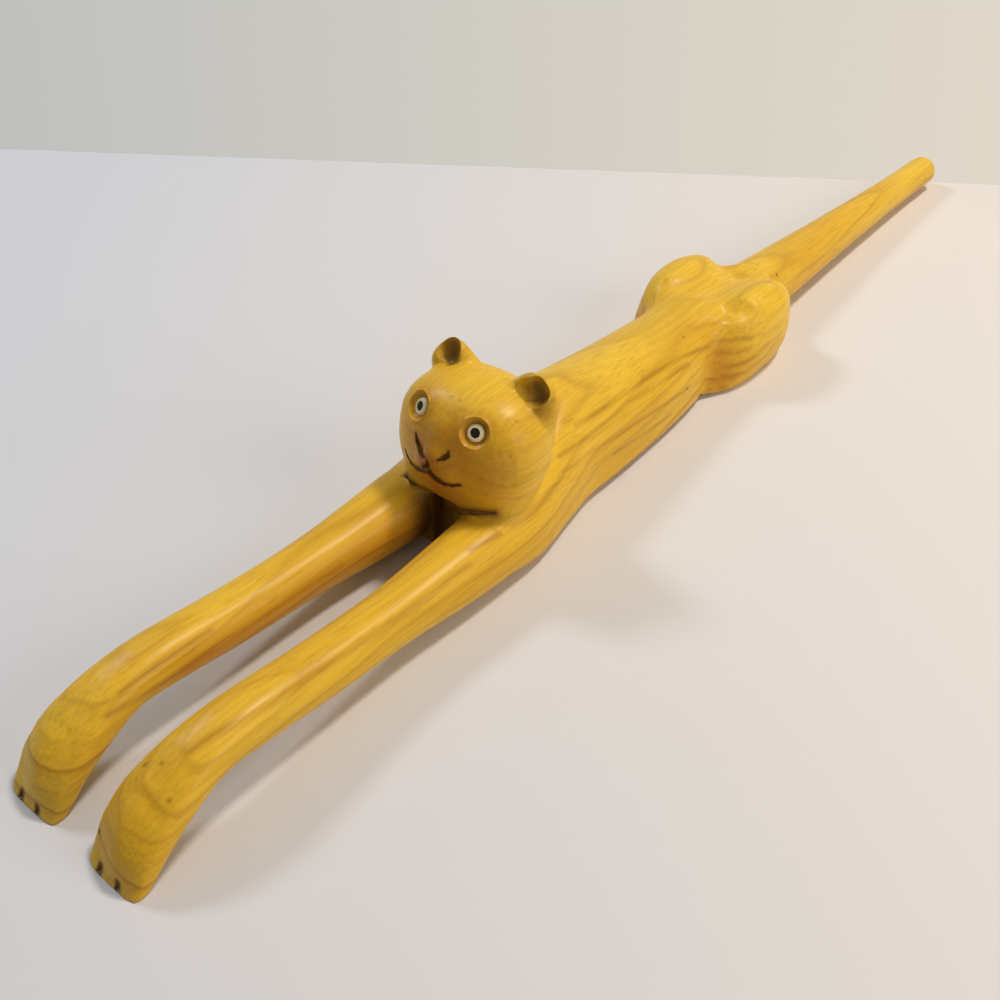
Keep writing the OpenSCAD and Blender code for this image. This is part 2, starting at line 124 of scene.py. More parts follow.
def rub_down(piece, name, lines, reach, strokes):
    weigh(piece, name, lines, reach)
    only(piece)
    sanding = piece.modifiers.new(name, "SMOOTH")
    sanding.factor = 0.5
    sanding.iterations = strokes
    sanding.vertex_group = name
    bpy.ops.object.modifier_apply(modifier=name)
    piece.vertex_groups.remove(piece.vertex_groups[name])


def swell(piece, name, lines, reach, height, crisp=False):
    weigh(piece, name, lines, reach, crisp)
    only(piece)
    relief = piece.modifiers.new(name, "DISPLACE")
    relief.direction = "NORMAL"
    relief.mid_level = 0
    relief.strength = height
    relief.vertex_group = name
    bpy.ops.object.modifier_apply(modifier=name)
    piece.vertex_groups.remove(piece.vertex_groups[name])


def block(profile, x_from, x_to):
    """Prism with a profile of (y, z) corners, between two places along X."""
    bpy.ops.object.select_all(action="DESELECT")
    bpy.ops.mesh.primitive_circle_add(vertices=len(profile), fill_type="NGON")
    prism = bpy.context.object
    for corner, (y, z) in zip(prism.data.vertices, profile):
        corner.co = (x_from, y, z)
    bpy.ops.object.mode_set(mode="EDIT")
    bpy.ops.mesh.select_all(action="SELECT")
    bpy.ops.mesh.extrude_region_move(TRANSFORM_OT_translate={"value": (x_to - x_from, 0, 0)})
    bpy.ops.mesh.select_all(action="SELECT")
    bpy.ops.mesh.normals_make_consistent(inside=False)
    bpy.ops.object.mode_set(mode="OBJECT")
    return prism


def cut(piece, tool, operation):
    only(piece)
    work = piece.modifiers.new("work", "BOOLEAN")
    work.operation = operation
    work.solver = "MANIFOLD"
    work.object = tool
    bpy.ops.object.modifier_apply(modifier="work")
    bpy.data.objects.remove(tool)


def groove(piece, stops, width):
    """Round-bottomed groove through (place, share of the width) stops."""
    trace = bpy.data.curves.new("groove", "CURVE")
    trace.dimensions = "3D"
    trace.bevel_depth = width / 2
    trace.bevel_resolution = 3
    trace.use_fill_caps = True
    spline = trace.splines.new("BEZIER")
    spline.bezier_points.add(len(stops) - 1)
    spline.resolution_u = 6
    for stop, (place, share) in zip(spline.bezier_points, stops):
        stop.co = place
        stop.handle_left_type = "AUTO"
        stop.handle_right_type = "AUTO"
        stop.radius = share
    veiner = bpy.data.objects.new("veiner", trace)
    bpy.context.collection.objects.link(veiner)
    only(veiner)
    bpy.ops.object.convert(target="MESH")
    veiner = bpy.context.object
    bpy.ops.object.mode_set(mode="EDIT")
    bpy.ops.mesh.select_all(action="SELECT")
    bpy.ops.mesh.remove_doubles(threshold=1e-7)
    bpy.ops.mesh.normals_make_consistent(inside=False)
    bpy.ops.object.mode_set(mode="OBJECT")
    cut(piece, veiner, "DIFFERENCE")


def on_skin(piece, point):
    return piece.closest_point_on_mesh(Vector(point) * mm)[1]


# The dowels and pegs are fused in too, so that the bores are full while the cat is carved.
bpy.ops.object.select_all(action="DESELECT")
blanks = []
for name in pine_nodes + dowel_nodes + peg_nodes:
    blank = bpy.data.objects.new("blank_" + name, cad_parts[name].data.copy())
    bpy.context.collection.objects.link(blank)
    blanks.append(blank)

# Plugs for the countersunk eye sockets, which are cut anew when the head is carved.
eye_turn = math.radians(20)
eye_look = math.radians(32)
eye_sink = 0.6 * mm
pupil_sink = 0.15 * mm
pupil_depth = 3.0 * mm
eye_axis = Vector((math.sin(eye_turn) * math.cos(eye_look), -math.cos(eye_turn) * math.cos(eye_look),
                   math.sin(eye_look)))
eye_middle = middle_of("left_pupil") + eye_axis * (pupil_depth + eye_sink + pupil_sink) / 2
eyes = (("left", eye_middle, eye_axis), ("right", across(eye_middle), across(eye_axis)))
plug_foot = 2.75 * mm
plug_mouth = 4.6 * mm
plug_depth = 2.0 * mm
plug_sink = 0.9 * mm
for side, middle, axis in eyes:
    bpy.ops.mesh.primitive_cone_add(vertices=48, radius1=plug_foot, radius2=plug_mouth, depth=plug_depth,
                                    location=middle - axis * plug_sink, rotation=lay_along(axis))
    bpy.ops.object.transform_apply()
    blanks.append(bpy.context.object)

# The front of each thigh runs out into the flank along this crease.
hip_crease = ((12, 24, 24.5), (13.5, 19.5, 21), (14.5, 16, 17), (15, 13, 11), (15.5, 11, 4.5), (15.5, 11, 1),
              (20, 19, 1))
for name, side in (("left_haunch", 1), ("right_haunch", -1)):
    bpy.ops.object.select_all(action="DESELECT")
    bpy.ops.mesh.primitive_circle_add(vertices=len(hip_crease))
    hip_front = bpy.context.object
    for corner, (x, y, z) in zip(hip_front.data.vertices, hip_crease):
        corner.co = Vector((side * x, y, z)) * mm
    cheek = bpy.data.objects.new("hip_cheek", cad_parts[name].data.copy())
    bpy.context.collection.objects.link(cheek)
    cheek.select_set(True)
    bpy.ops.object.join()
    bpy.ops.object.mode_set(mode="EDIT")
    bpy.ops.mesh.select_all(action="SELECT")
    bpy.ops.mesh.convex_hull()
    bpy.ops.object.mode_set(mode="OBJECT")
    blanks.append(hip_front)

# Plugs for the cuts between the toes, which are cut anew when the paws are carved.
toe_corners = ((-228.9, 0.05), (-226.6, 3.1), (-224.5, 3.1), (-224.5, 0.05))
toe_profile = [(y * mm, z * mm) for y, z in toe_corners]
toe_half = 1.4 * mm
for toe_x in (-17.5 * mm, -12.5 * mm, 12.5 * mm, 17.5 * mm):
    blanks.append(block(toe_profile, toe_x - toe_half, toe_x + toe_half))

bpy.ops.object.select_all(action="DESELECT")
for blank in blanks:
    blank.select_set(True)
bpy.context.view_layer.objects.active = blanks[0]
bpy.ops.object.join()
carving = bpy.context.object
carving.name = "carving"
bpy.ops.object.mode_set(mode="EDIT")
bpy.ops.mesh.select_all(action="SELECT")
bpy.ops.mesh.remove_doubles(threshold=1e-6)
bpy.ops.object.mode_set(mode="OBJECT")
carving.data.remesh_voxel_size = carving_voxel
bpy.ops.object.voxel_remesh()

# Rasping and sanding: each line runs along a crease or a hump, with how far round it the work reaches.
soften = carving.modifiers.new("sanding", "SMOOTH")
soften.factor = 0.5
soften.iterations = 12
bpy.ops.object.modifier_apply(modifier="sanding")

neck_line = both_sides((7, -102, 21), (15, -99, 22), (20, -92, 24), (20, -82, 27), (14, -73, 31),
                       (0, -70, 34))
rub_down(carving, "neck", neck_line, 11 * mm, 160)
rub_down(carving, "shoulders", both_sides((15, -103, 20), (25, -103, 10), (15, -103, 1)), 12 * mm, 90)
ear_roots = both_sides((7, -84, 51), (8, -78, 49), (16, -76, 46), (21, -82, 44))
rub_down(carving, "ear_roots", ear_roots, 5 * mm, 40)
rub_down(carving, "hip_fronts", both_sides((16, 20, 21), (18, 20, 15), (19, 19, 3)), 8 * mm, 60)
rub_down(carving, "hip_creases", both_sides((12.5, 23, 24), (14.5, 16, 17), (15.5, 11, 4)), 6 * mm, 50)
swell(carving, "hip_fillings", both_sides((14.5, 30, 27), (14.5, 34, 27)), 6 * mm, 1.5 * mm)
swell(carving, "saddle", [drawn((0, 36, 27), (0, 57, 25))], 10 * mm, -2.6 * mm)
rump_line = both_sides((0, 30, 27), (5, 40, 26), (6, 54, 24), (10, 61, 20), (12, 64, 14))
rub_down(carving, "rump", rump_line, 10 * mm, 160)
hip_tops = both_sides((14, 24, 26), (15, 32, 28), (16, 42, 28), (15, 50, 27))
rub_down(carving, "hip_tops", hip_tops, 10 * mm, 160)
rub_down(carving, "far_hip", [drawn((-13, 22, 24), (-15, 34, 28), (-17, 48, 27))], 12 * mm, 160)
swell(carving, "far_hollow", spot((-6.5, 29, 27)), 8 * mm, -0.7 * mm)
swell(carving, "near_dish", [drawn((13.5, 27.5, 27.5), (16.5, 29.5, 27.5))], 6.5 * mm, -2.1 * mm)
swell(carving, "rear_dish", [drawn((18.5, 41.5, 28), (20.5, 45, 27.5))], 5.5 * mm, -0.9 * mm)
rub_down(carving, "dishes", spot((15, 28.5, 27), (19.5, 43, 27)), 9 * mm, 40)
rub_down(carving, "withers", both_sides((0, -62, 35), (12, -62, 31), (17, -66, 27)), 14 * mm, 150)
rub_down(carving, "tail_root", both_sides((0, 67, 23), (11, 67, 12)), 9 * mm, 60)

chin_marks = ((-14, -103, 20.5), (-9, -104, 19.5), (0, -103.5, 19), (6, -103, 19), (12, -102.5, 21),
              (16.5, -100.5, 22))
chin_crease = [on_skin(carving, p) for p in chin_marks]
groove(carving, list(zip(chin_crease, (0.3, 0.9, 1.0, 1.0, 0.8, 0.2))), 2.2 * mm)
belly_corners = ((-54.5, -5), (27, -5), (25, 0.3), (13, 1.8), (-53.5, 1.8))
belly_profile = [(y * mm, z * mm) for y, z in belly_corners]
cut(carving, block(belly_profile, -saw_reach, saw_reach), "DIFFERENCE")


# Sawing the cat apart at its glue joints, with flat blocks that say where each joint runs.
# The pieces fit each other face to face, as they did when they were glued up.
neck_slope = math.radians(17)
chin_z = 19.5 * mm
tail_tilt = math.radians(1.592)
tail_z = 11.8 * mm
below = -10 * mm
front_y = -260 * mm
rear_y = 260 * mm


def largest_part(piece):
    only(piece)
    name = piece.name
    bpy.ops.mesh.separate(type="LOOSE")
    parts = sorted(bpy.context.selected_objects, key=lambda part: -len(part.data.vertices))
    for crumb in parts[1:]:
        bpy.data.objects.remove(crumb)
    parts[0].name = name
    return parts[0]


def saw_off(whole, name, profile, x_from, x_to):
    only(whole)
    bpy.ops.object.duplicate()
    piece = bpy.context.object
    piece.name = name
    cut(piece, block(profile, x_from, x_to), "INTERSECT")
    cut(whole, block(profile, x_from, x_to), "DIFFERENCE")
    return largest_part(piece)


def on_neck(y):
    return (y, chin_z + (y - shoulder_y) * math.tan(neck_slope))


nape_y = -60 * mm
muzzle_y = -125 * mm
head_profile = (on_neck(nape_y), on_neck(shoulder_y - 0.8 * mm), (shoulder_y - 1.3 * mm, 21.2 * mm),
                (muzzle_y, 24 * mm), (muzzle_y, saw_reach), (nape_y, saw_reach))
head = saw_off(carving, "cat_head", head_profile, -saw_reach, saw_reach)
leg_profile = ((front_y, below), (shoulder_y, below), (shoulder_y, saw_reach), (front_y, saw_reach))
left_foreleg = saw_off(carving, "cat_left_foreleg", leg_profile, 0, saw_reach)
right_foreleg = saw_off(carving, "cat_right_foreleg", leg_profile, -saw_reach, 0)
rise = saw_reach * math.tan(tail_tilt)
tail_profile = ((rump_y - rise, tail_z - saw_reach), (rear_y, tail_z - saw_reach),
                (rear_y, tail_z + saw_reach), (rump_y + rise, tail_z + saw_reach))
tail = saw_off(carving, "cat_tail_handle", tail_profile, -saw_reach, saw_reach)
hip_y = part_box("left_haunch")[0].y
core_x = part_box("left_haunch")[0].x
cheek_end = rump_y + 5 * mm
haunch_profile = ((hip_y, below), (cheek_end, below), (cheek_end, saw_reach), (hip_y, saw_reach))
left_haunch = saw_off(carving, "cat_left_haunch", haunch_profile, core_x, saw_reach)
right_haunch = saw_off(carving, "cat_right_haunch", haunch_profile, -saw_reach, -core_x)
torso = largest_part(carving)
torso.name = "cat_torso"


# Pine under a satin varnish: nearly level growth layers cut open by the carving, long fibres along the cat,
# resin flecks and a few specks of bark.
# Painted shade: dark brown in the creases, grooves and hollows, and deep orange where the surface turns away
# from the lamps.
pale_wood = (0.885, 0.555, 0.039, 1)
gold_wood = (0.75, 0.39, 0.008, 1)
late_wood = (0.36, 0.145, 0.006, 1)
# Deep orange: painted shade where the surface faces away from the lamps.
shade_amber_tint = (0.50, 0.15, 0.003, 1)
# Dark brown: painted shade in creases and hollows, and the colour of the wood's specks.
painted_shade_and_specks = (0.066, 0.017, 0.005, 1)
pith_x = -12 * mm
pith_z = -75 * mm
layer = 4.3 * mm
smooth_angle = math.radians(40)


def pine_finish():
    finish = bpy.data.materials.new("varnished_pine")
    finish.use_nodes = True
    tree = finish.node_tree
    shader = tree.nodes["Principled BSDF"]

    def feed(socket, value):
        if isinstance(value, bpy.types.NodeSocket):
            tree.links.new(value, socket)
        else:
            socket.default_value = value

    def add(kind, **sockets):
        node = tree.nodes.new("ShaderNode" + kind)
        for name, value in sockets.items():
            feed(node.inputs[name.replace("_", " ")], value)
        return node

    def math_node(operation, *values):
        node = tree.nodes.new("ShaderNodeMath")
        node.operation = operation
        for socket, value in zip(node.inputs, values):
            feed(socket, value)
        return node.outputs[0]

    def plus(first, second):
        return math_node("ADD", first, second)

    def minus(first, second):
        return math_node("SUBTRACT", first, second)

    def times(first, second):
        return math_node("MULTIPLY", first, second)

    def ramp(factor, *stops):
        node = add("ValToRGB", Fac=factor)
        while len(node.color_ramp.elements) < len(stops):
            node.color_ramp.elements.new(0.5)
        for element, (place, shade) in zip(node.color_ramp.elements, stops):
            element.position = place
            element.color = (shade, shade, shade, 1)
        return node.outputs["Color"]

    def tint(factor, first, second):
        node = tree.nodes.new("ShaderNodeMix")
        node.data_type = "RGBA"
        feed(node.inputs[0], factor)
        feed(node.inputs[6], first)
        feed(node.inputs[7], second)
        return node.outputs[2]

    def painted(name):
        node = add("Attribute")
        node.attribute_name = name
        return node.outputs["Fac"]

    place = add("TexCoord").outputs["Object"]

    def streaks(across_grain, along_grain, detail):
        stretched = add("Mapping", Vector=place, Scale=(across_grain, along_grain, across_grain))
        return add("TexNoise", Vector=stretched.outputs[0], Scale=1.0, Detail=detail).outputs["Fac"]

    wander_x = minus(streaks(22, 5, 2.0), 0.5)
    wander_z = minus(streaks(31, 7, 3.0), 0.5)
    spot_at = add("SeparateXYZ", Vector=place)
    side = plus(minus(spot_at.outputs[0], pith_x), times(wander_x, 20 * mm))
    up = plus(minus(spot_at.outputs[2], pith_z), times(wander_z, 13 * mm))
    year = math_node("DIVIDE", math_node("SQRT", plus(times(side, side), times(up, up))), layer)
    season = math_node("FRACT", year)
    late = ramp(season, (0.0, 0.10), (0.40, 0.06), (0.72, 0.40), (0.88, 1.0), (1.0, 0.10))
    vigour = add("TexWhiteNoise")
    vigour.noise_dimensions = "1D"
    feed(vigour.inputs["W"], math_node("FLOOR", year))
    late = times(late, plus(0.16, times(vigour.outputs["Value"], 0.54)))
    late = times(late, painted("growth_lines"))

    fibre = streaks(1100, 26, 3.0)
    broken = ramp(streaks(420, 30, 3.0), (0.34, 0.25), (0.62, 1.0))
    fleck = ramp(streaks(1500, 105, 1.0), (0.66, 0.0), (0.74, 1.0))
    cloud = ramp(streaks(48, 12, 2.0), (0.38, 0.0), (0.64, 1.0))
    grains = add("TexVoronoi", Vector=place, Scale=115.0)
    lot = add("SeparateColor", Color=grains.outputs["Color"]).outputs[0]
    seldom = math_node("GREATER_THAN", lot, 0.86)
    speck = times(seldom, ramp(grains.outputs["Distance"], (0.05, 1.0), (0.10, 0.0)))
    # Painted shade in creases, grooves and hollows, together with the wood's own dark specks.
    shade_and_specks = painted("painted_shade_and_specks")

    wood = tint(times(cloud, 0.55), pale_wood, gold_wood)
    wood = tint(late, wood, late_wood)
    wood = tint(times(ramp(fibre, (0.36, 1.0), (0.56, 0.0)), 0.20), wood, late_wood)
    wood = tint(times(fleck, 0.30), wood, late_wood)
    wood = tint(times(painted("dark_streaks"), broken), wood, late_wood)
    # Painted shade: deep orange where the surface faces away from the lamps.
    wood = tint(painted("shade_amber"), wood, shade_amber_tint)
    wood = tint(times(speck, 0.75), wood, painted_shade_and_specks)
    wood = tint(shade_and_specks, wood, painted_shade_and_specks)
    feed(shader.inputs["Base Color"], wood)
    feed(shader.inputs["Roughness"], plus(plus(0.42, times(fibre, 0.14)), times(shade_and_specks, 0.40)))
    shader.inputs["Specular IOR Level"].default_value = 0.12
    shader.inputs["Coat Weight"].default_value = 0.25
    shader.inputs["Coat Roughness"].default_value = 0.30
    pores = add("Bump", Strength=0.22, Distance=0.2 * mm, Height=fibre)
    feed(shader.inputs["Normal"], pores.outputs["Normal"])
    return finish


def mark(piece, name, marks):
    """Point attribute along lines: each mark is (lines, width, strength, hardness of its edge)."""
    points = corners(piece)
    amount = np.zeros(len(points))
    for lines, width, strength, hardness in marks:
        for line in lines:
            near_line = distance_to_line(points, line)
            amount = np.maximum(amount, strength * np.exp(-(near_line / width) ** hardness))
    piece.data.attributes.new(name, "FLOAT", "POINT").data.foreach_set("value", amount)


# The first and third sets of marks are painted shade, and the first also holds the wood's dark specks. The
# streaks are grain.
def finish_in_pine(piece, node, shade_and_specks=(), streaks=(), shade_amber=(), growth_lines=1.0):
    mark(piece, "painted_shade_and_specks", shade_and_specks)
    mark(piece, "dark_streaks", streaks)
    mark(piece, "shade_amber", shade_amber)
    lines = piece.data.attributes.new("growth_lines", "FLOAT", "POINT")
    lines.data.foreach_set("value", np.full(len(piece.data.vertices), growth_lines))
    only(piece)
    bpy.ops.object.shade_smooth_by_angle(angle=smooth_angle)
    piece.data.materials.clear()
    piece.data.materials.append(pine)
    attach(piece, "root")
    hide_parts(node)


pine = pine_finish()


# Head: one pine blank, carved with gouges: a flat nose, nostrils, a curled mouth, dished eye sockets and
# hollowed ears. It is bored for the eyes and for the dowel that holds it on the neck.
soft = 2
hard = 5
glue_gap = 0.05 * mm
end_gap = 0.1 * mm
dowel_radius = 4 * mm
neck_dowel_length = 26 * mm
neck_axis = Vector((0, -math.sin(neck_slope), math.cos(neck_slope)))


def drill(piece, middle, axis, radius, depth):
    bpy.ops.mesh.primitive_cylinder_add(vertices=48, radius=radius, depth=depth, location=middle,
                                        rotation=lay_along(axis))
    bpy.ops.object.transform_apply()
    cut(piece, bpy.context.object, "DIFFERENCE")


def bore_for(piece, dowel, axis, length):
    drill(piece, middle_of(dowel), axis, dowel_radius + glue_gap, length + end_gap)


def hollow(piece, middle, half_axes, lean=0):
    bpy.ops.mesh.primitive_uv_sphere_add(segments=64, ring_count=32, radius=1, location=middle,
                                         rotation=(0, lean, 0), scale=half_axes)
    bpy.ops.object.transform_apply()
    cut(piece, bpy.context.object, "DIFFERENCE")


def on_face(x, z):
    found, place, normal, _ = head.ray_cast(Vector((x, -200, z)) * mm, Vector((0, 1, 0)))
    assert found, (x, z)
    return place, normal


def along_skin(piece, *points):
    """Line on the piece's surface through a few rough places, in millimetres."""
    line = []
    steps = 6
    for start, end in zip(points[:-1], points[1:]):
        line += [on_skin(piece, Vector(start).lerp(Vector(end), step / steps)) for step in range(steps)]
    return line + [on_skin(piece, points[-1])]


swell(head, "ear_sides", both_sides((19.5, -82.5, 48.5), (20.5, -80, 47)), 6.5 * mm, 1.4 * mm)
swell(head, "nose_bridge", [drawn((0, -103.5, 44), (0, -107, 38))], 4.6 * mm, 0.7 * mm)
swell(head, "nose_tip", spot((0, -107.5, 37)), 4.2 * mm, 0.8 * mm)
swell(head, "whisker_pads", spot((4, -106.5, 32.5), (-4, -106.5, 32.5)), 5.5 * mm, 0.7 * mm)
swell(head, "chin", spot((0, -105.5, 27)), 6 * mm, 0.6 * mm)

# Lines of the face as (x, z, share of the width). All are traced before the first is cut, so that none
# starts at the bottom of another.
philtrum = ((-0.5, 36, 0.5), (-0.5, 35, 0.8), (-1.5, 32.5, 1.0))
mouth_near = ((-2, 32.5, 0.8), (-0.5, 32, 1.1), (0.5, 31, 1.25), (2, 30, 1.2), (3.5, 29, 0.8),
              (5.5, 29, 0.75), (8, 30, 0.35))
mouth_far = ((-1.5, 32, 0.9), (-4, 30, 0.9), (-6.5, 28, 0.9), (-9, 27, 0.9), (-11, 27.5, 0.8),
             (-12.5, 29, 0.6), (-13.5, 30.5, 0.35))
nostril_far = ((-8, 39, 0.35), (-7, 37.5, 0.8), (-5, 36.5, 1.0), (-3.5, 36, 0.9), (-1.5, 36.5, 0.4))
nostril_near = ((4.5, 39.5, 0.3), (4.5, 38.5, 0.9), (3.5, 37.5, 0.85), (2.5, 37, 0.4), (1.5, 36.5, 0.25))
traced = []
for stops, width, depth in ((philtrum, 1.7 * mm, 1.2 * mm), (mouth_near, 2.3 * mm, 1.5 * mm),
                            (mouth_far, 2.0 * mm, 1.3 * mm), (nostril_far, 2.4 * mm, 1.6 * mm),
                            (nostril_near, 1.6 * mm, 1.1 * mm)):
    line = []
    for x, z, share in stops:
        place, normal = on_face(x, z)
        line.append((place - normal * (depth - width / 2), share))
    traced.append((line, width))
# Painted shade: dark brown along each groove of the face and at the corner of the lip.
groove_shade_spread = 0.35
groove_shade_strength = 0.90
face_groove_shade = []
for line, width in traced:
    groove(head, line, width)
    for (start, first), (end, second) in zip(line[:-1], line[1:]):
        face_groove_shade.append(([[start, end]], groove_shade_spread * width * (first + second), groove_shade_strength, hard))
lip = on_face(-1.5, 32.5)[0]
face_groove_shade.append(([[lip, lip]], 2.1 * mm, groove_shade_strength, hard))

socket_depth = 2.1 * mm
socket_round = 5.6 * mm
eye_depth = 7.0 * mm
eye_radius = 2.5 * mm
overshoot = 2 * mm
sockets = []
for side, middle, axis in eyes:
    hollow(head, middle + axis * (socket_round - socket_depth), (socket_round,) * 3)
    eye_hole = middle - axis * (eye_depth - overshoot) / 2
    drill(head, eye_hole, axis, eye_radius + glue_gap, eye_depth + overshoot)
    # Painted shadow in the upper part of each socket, with deep orange round it.
    shaded = middle + Vector((0.7, 0, 1.0)) * mm - axis * 1.4 * mm
    sockets.append([shaded, shaded])
near_ear = Vector((16.9, -84.2, 53.2)) * mm
far_ear = Vector((-14.5, -84.4, 53.8)) * mm
hollow(head, near_ear, (4.0 * mm, 4.0 * mm, 5.6 * mm), math.radians(24))
hollow(head, far_ear, (4.3 * mm, 4.2 * mm, 5.4 * mm), math.radians(-12))
rub_down(head, "ear_rims", spot((15.5, -83.5, 53), (-14, -83.5, 53)), 7.5 * mm, 4)
bore_for(head, "neck_dowel", neck_axis, neck_dowel_length)

# Lines for painted shade in the ear hollows.
ear_hollows = [drawn((15, -81.5, 52), (17.5, -82.5, 49)),
               drawn((-14.5, -81.5, 52.5), (-13.5, -81.5, 49.5))]
brow_marks = ((1.5, -97, 50), (-1.5, -97, 50), (16.5, -92, 47.5), (19, -97.5, 40.5))
brow_specks = [[on_skin(head, p)] * 2 for p in brow_marks]
cheek_streak = along_skin(head, (20.5, -98, 32.5), (22.5, -91.5, 33), (20.5, -82, 29))
# Painted shade: dark brown in the grooves, the ear hollows, the chin crease and the sockets, and faintly on
# the muzzle; deep orange on the muzzle, the cheeks and round the sockets. The brow specks are the wood's
# own.
finish_in_pine(
    head, "head",
    shade_and_specks=(*face_groove_shade, (ear_hollows, 3.4 * mm, 0.85, soft), (spot((-2, -108, 35)), 8 * mm, 0.28, soft),
            ([chin_crease], 1.5 * mm, 0.85, soft), (brow_specks, 0.45 * mm, 0.45, soft),
            (sockets, 3.0 * mm, 0.8, soft)),
    streaks=(([cheek_streak], 0.8 * mm, 0.4, soft),),
    shade_amber=((spot((-2, -108, 35), (0, -106, 28)), 10 * mm, 0.72, soft),
           (spot((9, -105, 36), (14, -101, 34), (5, -103, 42)), 9 * mm, 0.60, soft),
           (sockets, 5.5 * mm, 0.5, soft)),
    growth_lines=0.5)


# Forelegs: two pine arms with bent paws, a ridge on the back of each paw and two short cuts for its toes.
# Each is bored at the shoulder for the dowel that holds it on the chest.
shoulder_dowel_length = 40 * mm
toe_front = -230.5
toe_slope = 0.5
left_streaks = (((17, -204, 22), (20, -186, 22), (20.5, -150, 18), (21.5, -117, 17.5)),
                ((19, -114, 19.5), (21, -103, 19)))
right_streaks = (((-7.5, -208, 18.5), (-7.5, -188, 16.5), (-7.5, -136, 13.5)),
                 ((-9.5, -203, 21), (-9, -192, 21.5), (-9.5, -177, 20.5)))
left_specks = ((10, -211, 18.5), (20.5, -213, 17.5), (13.5, -209, 20))
for piece, side, paw_x, streak_marks, speck_marks in (
        (left_foreleg, "left", 15, left_streaks, left_specks),
        (right_foreleg, "right", -15, right_streaks, ())):
    ridge = drawn((paw_x - 2.2, -216.3, 16), (paw_x + 0.3, -221.3, 12), (paw_x + 1.8, -224.4, 7.6))
    swell(piece, "paw_back", [ridge], 9 * mm, 0.7 * mm)
    swell(piece, "paw_ridge", [ridge[1:]], 7.5 * mm, 1.5 * mm, crisp=True)
    rub_down(piece, "paw_back", [ridge], 4 * mm, 3)
    rub_down(piece, "worn_corner", [drawn((paw_x - 9.5, -228.5, 0), (paw_x - 9.5, -226, 4))], 6 * mm, 70)
    rub_down(piece, "outer_corner", [drawn((paw_x + 9.5, -229, 0), (paw_x + 9.5, -227, 3))], 4 * mm, 15)
    bore_for(piece, side + "_shoulder_dowel", Vector((0, 1, 0)), shoulder_dowel_length)
    notches = []
    for toe_x in (paw_x - 3.4, paw_x + 3.0):
        notch = [on_skin(piece, (toe_x, toe_front + toe_slope * z, z)) for z in (-0.5, 1.0, 2.7)]
        groove(piece, list(zip(notch, (1.0, 0.9, 0.3))), 1.9 * mm)
        notches.append(notch)
    paw_specks = [[on_skin(piece, p)] * 2 for p in speck_marks]
    arm_streaks = [along_skin(piece, *points) for points in streak_marks]
    # Painted shade: dark brown in the toe cuts, faintly on the front of the paw and in the cleft between the
    # arms at the chest; deep orange on the inner side of the arm. The paw specks are the wood's own.
    finish_in_pine(
        piece, side + "_foreleg",
        shade_and_specks=((notches, 1.15 * mm, 0.9, hard), (paw_specks, 0.6 * mm, 0.6, soft),
                (both_sides((13, -229, 3), (13, -223, 11)), 9 * mm, 0.14, soft),
                (both_sides((4.5, -103, 16), (5, -105, 8), (5, -105, 2)), 6 * mm, 0.9, soft)),
        streaks=((arm_streaks, 1.0 * mm, 0.7, soft),),
        shade_amber=((both_sides((6.5, -185, 14), (7, -108, 12)), 6 * mm, 0.5, soft),))


# Haunches: two pine cheeks with growth rings that come round to the front of the thigh.
# They are glued to the flats of the rump on two dowels that go right through.
hip_dowel_length = 38.5 * mm
hip_rings = (
    ((14, 18, 19.5), (18.5, 23.5, 19), (22, 29, 19)),
    ((15, 15.5, 16), (20, 22.5, 15), (22.5, 27.5, 15.5)),
    ((15.5, 13.5, 12), (19.5, 20, 10.5), (23, 27.5, 11), (24.5, 38, 13.5)),
    ((15.5, 12.5, 8), (19.5, 19.5, 7), (23, 27.5, 6), (24.5, 36.5, 8), (24.5, 44.5, 13)),
    ((15.5, 11, 5), (19, 19.5, 2.5)))
thigh_fronts = both_sides((17, 17, 15), (18, 18, 4))
for piece, node, side in ((left_haunch, "left_haunch", 1), (right_haunch, "right_haunch", -1)):
    for dowel in hip_dowels:
        bore_for(piece, dowel, Vector((1, 0, 0)), hip_dowel_length)
    rings = [along_skin(piece, *((side * x, y, z) for x, y, z in ring)) for ring in hip_rings]
    # Painted shade: deep orange on the front of each thigh, where it turns from the lamps.
    finish_in_pine(piece, node, streaks=((rings, 0.9 * mm, 0.62, soft),),
                   shade_amber=((thigh_fronts, 8 * mm, 0.5, soft),), growth_lines=0.35)


# Tail: the pine handle, turned to a long taper and rounded at its end.
# Its own tenon is turned from the same wood and is glued into the rump.
tail_axis = Vector((0, math.cos(tail_tilt), -math.sin(tail_tilt)))
tail_root = Vector((0, rump_y, tail_z))
tenon_radius = 6 * mm
tenon_length = 16 * mm
tenon_root = 6 * mm
bpy.ops.mesh.primitive_cylinder_add(
    vertices=64, radius=tenon_radius, depth=tenon_length + tenon_root,
    location=tail_root - tail_axis * (tenon_length - tenon_root) / 2, rotation=lay_along(tail_axis))
bpy.ops.object.transform_apply()
cut(tail, bpy.context.object, "UNION")
finish_in_pine(tail, "tail_handle")


